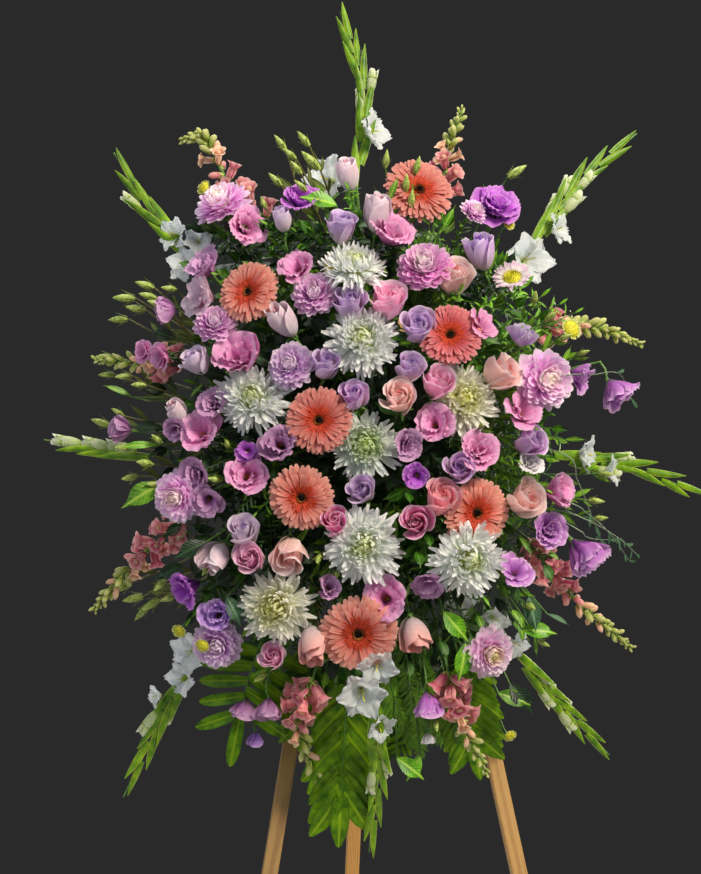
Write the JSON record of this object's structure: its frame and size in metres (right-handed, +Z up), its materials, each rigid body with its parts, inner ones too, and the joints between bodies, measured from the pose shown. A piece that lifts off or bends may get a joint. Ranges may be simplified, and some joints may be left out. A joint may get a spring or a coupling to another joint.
{
  "type": "standing funeral arrangement",
  "caption": "Tall oval spray of cut flowers in floral foam on a folding three-legged wooden easel; the rear leg is hinged.",
  "frame": {"origin": "on the floor, under the middle of the bounding box", "axes": "+Z up, the spray faces -Y, +X to the right seen from the front"},
  "size_m": [1.1552, 0.9459, 1.8937],
  "materials": {
    "easel_wood": "planed pine, clear",
    "zinc_steel": "zinc plated",
    "holder_plastic": "moulded, green",
    "floral_foam": "wet open-cell foam",
    "gerbera_petal": "fresh petal, salmon",
    "white_petal": "fresh petal, white",
    "snapdragon_petal": "fresh petal, coral pink",
    "leaf": "fresh leaf",
    "rose_petal": "fresh petal, lavender to blush",
    "lisianthus_petal": "fresh petal, pink to violet",
    "aster_petal": "fresh petal, pink and white",
    "stem": "fresh green stem"
  },
  "bodies": {
    "frame": {"front_leg_left": "easel_wood", "front_leg_right": "easel_wood", "head_block": "easel_wood", "upper_rail": "easel_wood", "lower_rail": "easel_wood", "hinge_leaf_fixed": "zinc_steel", "hinge_pin": "zinc_steel", "hinge_screw_block_1": "zinc_steel", "hinge_screw_block_2": "zinc_steel", "rail_screw_upper_left": "zinc_steel", "rail_screw_upper_right": "zinc_steel", "rail_screw_lower_left": "zinc_steel", "rail_screw_lower_right": "zinc_steel", "head_screw_upper_left": "zinc_steel", "head_screw_upper_right": "zinc_steel", "head_screw_lower_left": "zinc_steel", "head_screw_lower_right": "zinc_steel", "foam_tray": "holder_plastic", "foam_block": "floral_foam", "gerbera_1": "gerbera_petal", "gerbera_2": "gerbera_petal", "gerbera_3": "gerbera_petal", "gerbera_4": "gerbera_petal", "gerbera_5": "gerbera_petal", "gerbera_6": "gerbera_petal", "gerbera_7": "gerbera_petal", "white_chrysanthemum_1": "white_petal", "white_chrysanthemum_2": "white_petal", "white_chrysanthemum_3": "white_petal", "white_chrysanthemum_4": "white_petal", "white_chrysanthemum_5": "white_petal", "white_chrysanthemum_6": "white_petal", "white_chrysanthemum_7": "white_petal", "white_chrysanthemum_8": "white_petal", "gladiolus_top": "white_petal", "gladiolus_upper_left": "white_petal", "gladiolus_upper_right": "white_petal", "gladiolus_right": "white_petal", "gladiolus_left": "white_petal", "gladiolus_lower_right": "white_petal", "gladiolus_lower_left": "white_petal", "gladiolus_bottom": "white_petal", "snapdragon_upper_left": "snapdragon_petal", "snapdragon_upper_right": "snapdragon_petal", "snapdragon_right": "snapdragon_petal", "snapdragon_left": "snapdragon_petal", "snapdragon_lower_left": "snapdragon_petal", "snapdragon_lower_right": "snapdragon_petal", "snapdragon_bottom_left": "snapdragon_petal", "snapdragon_bottom_right": "snapdragon_petal", "palm_frond_centre": "leaf", "palm_frond_left": "leaf", "palm_frond_right": "leaf"},
    "rear_leg": {"rear_leg": "easel_wood", "hinge_leaf_moving": "zinc_steel", "hinge_screw_leg_1": "zinc_steel", "hinge_screw_leg_2": "zinc_steel"}
  },
  "joints": [
    {"name": "rear_leg_hinge", "type": "hinge", "parent": "frame", "child": "rear_leg", "pos_m": [0.02287, -0.0317, 1.3675], "axis": [1, 0, 0], "range_deg": [-30, 0]}
  ]
}
